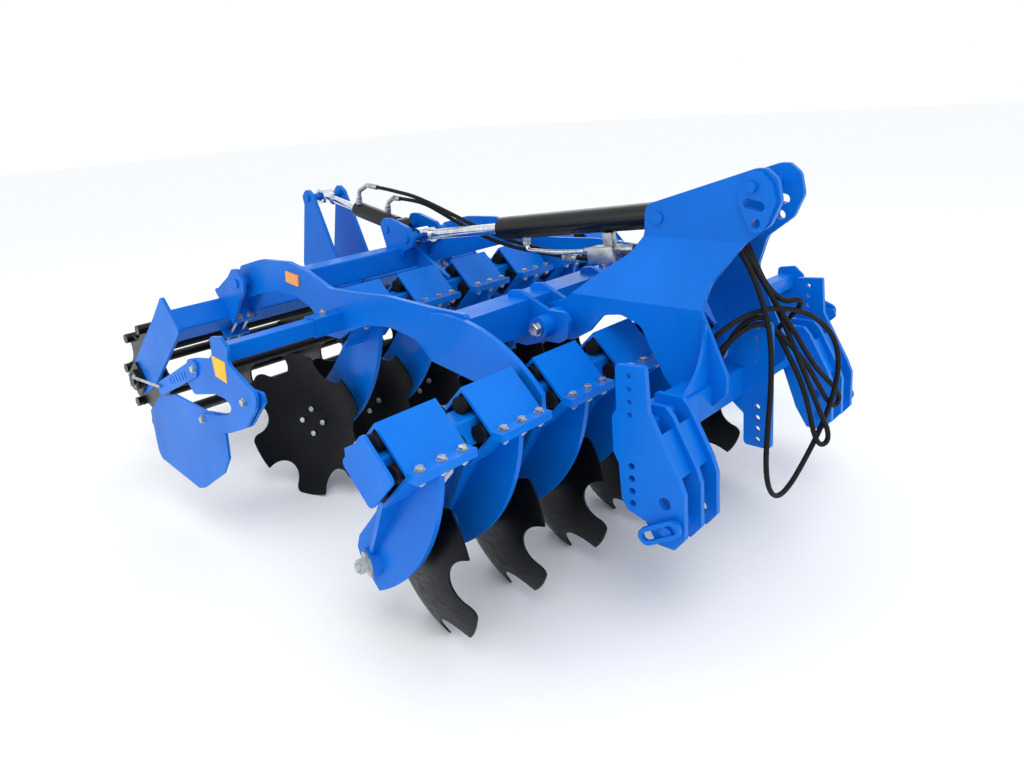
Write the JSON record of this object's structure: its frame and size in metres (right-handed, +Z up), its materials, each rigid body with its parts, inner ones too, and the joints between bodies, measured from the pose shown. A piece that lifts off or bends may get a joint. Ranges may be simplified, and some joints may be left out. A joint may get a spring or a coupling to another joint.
{
  "type": "disc harrow",
  "caption": "Mounted compact disc harrow with notched discs on rubber-cord arms, a hydraulic headstock and a cage roller",
  "frame": {"origin": "Ground under the discs, at the middle of the overall width and length", "axes": "+X machine's left, -Y forward (hitch end), +Z up"},
  "size_m": [1.99, 2.4967, 1.1023],
  "materials": {
    "frame_paint": "satin enamel",
    "dark_paint": "satin enamel",
    "disc_steel": "semi-matt factory coating",
    "zinc_steel": "zinc plated",
    "rod_chrome": "polished hard chrome",
    "cord_rubber": "matt",
    "reflector_orange": "prismatic"
  },
  "bodies": {
    "frame": {"side_plates": "frame_paint", "front_plates": "frame_paint", "middle_beam": "frame_paint", "rear_beam": "frame_paint", "centre_bracket": "frame_paint", "frame_pins": "frame_paint", "front_row_tube": "frame_paint", "rear_row_tube": "frame_paint", "front_clamp_tops": "frame_paint", "rear_clamp_tops": "frame_paint", "front_arms": "frame_paint", "rear_arms": "frame_paint", "front_rubber_cords": "cord_rubber", "rear_rubber_cords": "cord_rubber", "front_axles": "zinc_steel", "rear_axles": "zinc_steel", "deflector_sleeves": "frame_paint", "deflector_arms": "frame_paint", "deflector_paddles": "frame_paint", "reflectors": "reflector_orange"},
    "headstock": {"tower_plates": "frame_paint", "top_link_plates": "frame_paint", "headstock_pins": "frame_paint", "crossbar": "frame_paint", "hitch_plates": "frame_paint", "lower_link_pins": "frame_paint"},
    "top_barrel": {"top_cylinder_barrel": "dark_paint"},
    "top_rod": {"top_cylinder_rod": "rod_chrome"},
    "depth_barrel": {"depth_cylinder_barrel": "dark_paint"},
    "depth_rod": {"depth_cylinder_rod": "rod_chrome"},
    "roller_frame": {"roller_beam": "frame_paint", "roller_pivot_clamps": "frame_paint", "depth_lever": "frame_paint", "roller_bearings": "dark_paint"},
    "roller": {"cage_roller": "dark_paint"},
    "front_wheel_1": {"front_disc_1": "disc_steel"},
    "front_wheel_2": {"front_disc_2": "disc_steel"},
    "front_wheel_3": {"front_disc_3": "disc_steel"},
    "front_wheel_4": {"front_disc_4": "disc_steel"},
    "front_wheel_5": {"front_disc_5": "disc_steel"},
    "front_wheel_6": {"front_disc_6": "disc_steel"},
    "rear_wheel_1": {"rear_disc_1": "disc_steel"},
    "rear_wheel_2": {"rear_disc_2": "disc_steel"},
    "rear_wheel_3": {"rear_disc_3": "disc_steel"},
    "rear_wheel_4": {"rear_disc_4": "disc_steel"},
    "rear_wheel_5": {"rear_disc_5": "disc_steel"},
    "rear_wheel_6": {"rear_disc_6": "disc_steel"}
  },
  "joints": [
    {"name": "headstock_tilt", "type": "hinge", "parent": "frame", "child": "headstock", "pos_m": [0, -0.639, 0.678], "axis": [1, 0, 0], "range_deg": [-6, 6]},
    {"name": "top_barrel_swing", "type": "hinge", "parent": "headstock", "child": "top_barrel", "pos_m": [0, -0.909, 0.971], "axis": [1, 0, 0], "range_deg": [-4.4, 4.4]},
    {"name": "top_rod_slide", "type": "slide", "parent": "top_barrel", "child": "top_rod", "axis": [0, 0.9931, -0.1169], "range_m": [-0.028, 0.028]},
    {"name": "roller_depth", "type": "hinge", "parent": "frame", "child": "roller_frame", "pos_m": [0, 0.53, 0.742], "axis": [1, 0, 0], "range_deg": [-14, 6]},
    {"name": "depth_barrel_swing", "type": "hinge", "parent": "frame", "child": "depth_barrel", "pos_m": [0, 0.244, 0.876], "axis": [1, 0, 0], "range_deg": [-7, 3.2]},
    {"name": "depth_rod_slide", "type": "slide", "parent": "depth_barrel", "child": "depth_rod", "axis": [0, 0.978, 0.2088], "range_m": [-0.0195, 0.0445]},
    {"name": "roller_spin", "type": "hinge", "parent": "roller_frame", "child": "roller", "pos_m": [0, 1.04, 0.35], "axis": [1, 0, 0], "continuous": true},
    {"name": "front_disc_1_spin", "type": "hinge", "parent": "frame", "child": "front_wheel_1", "pos_m": [-0.79868, -0.63533, 0.25026], "axis": [0.954, -0.2917, 0.0698], "continuous": true},
    {"name": "front_disc_2_spin", "type": "hinge", "parent": "frame", "child": "front_wheel_2", "pos_m": [-0.54868, -0.63533, 0.25026], "axis": [0.954, -0.2917, 0.0698], "continuous": true},
    {"name": "front_disc_3_spin", "type": "hinge", "parent": "frame", "child": "front_wheel_3", "pos_m": [-0.29868, -0.63533, 0.25026], "axis": [0.954, -0.2917, 0.0698], "continuous": true},
    {"name": "front_disc_4_spin", "type": "hinge", "parent": "frame", "child": "front_wheel_4", "pos_m": [-0.04868, -0.63533, 0.25026], "axis": [0.954, -0.2917, 0.0698], "continuous": true},
    {"name": "front_disc_5_spin", "type": "hinge", "parent": "frame", "child": "front_wheel_5", "pos_m": [0.20132, -0.63533, 0.25026], "axis": [0.954, -0.2917, 0.0698], "continuous": true},
    {"name": "front_disc_6_spin", "type": "hinge", "parent": "frame", "child": "front_wheel_6", "pos_m": [0.45132, -0.63533, 0.25026], "axis": [0.954, -0.2917, 0.0698], "continuous": true},
    {"name": "rear_disc_1_spin", "type": "hinge", "parent": "frame", "child": "rear_wheel_1", "pos_m": [0.79868, 0.28467, 0.25026], "axis": [-0.954, -0.2917, 0.0698], "continuous": true},
    {"name": "rear_disc_2_spin", "type": "hinge", "parent": "frame", "child": "rear_wheel_2", "pos_m": [0.54868, 0.28467, 0.25026], "axis": [-0.954, -0.2917, 0.0698], "continuous": true},
    {"name": "rear_disc_3_spin", "type": "hinge", "parent": "frame", "child": "rear_wheel_3", "pos_m": [0.29868, 0.28467, 0.25026], "axis": [-0.954, -0.2917, 0.0698], "continuous": true},
    {"name": "rear_disc_4_spin", "type": "hinge", "parent": "frame", "child": "rear_wheel_4", "pos_m": [0.04868, 0.28467, 0.25026], "axis": [-0.954, -0.2917, 0.0698], "continuous": true},
    {"name": "rear_disc_5_spin", "type": "hinge", "parent": "frame", "child": "rear_wheel_5", "pos_m": [-0.20132, 0.28467, 0.25026], "axis": [-0.954, -0.2917, 0.0698], "continuous": true},
    {"name": "rear_disc_6_spin", "type": "hinge", "parent": "frame", "child": "rear_wheel_6", "pos_m": [-0.45132, 0.28467, 0.25026], "axis": [-0.954, -0.2917, 0.0698], "continuous": true}
  ],
  "couplings": [
    {"joint": "top_barrel_swing", "follows": "headstock_tilt", "ratio": -0.7128},
    {"joint": "top_rod_slide", "follows": "headstock_tilt", "m_per_rad": 0.25931},
    {"joint": "depth_barrel_swing", "follows": "roller_depth", "ratio": 0.48075},
    {"joint": "depth_rod_slide", "follows": "roller_depth", "m_per_rad": -0.1805}
  ]
}
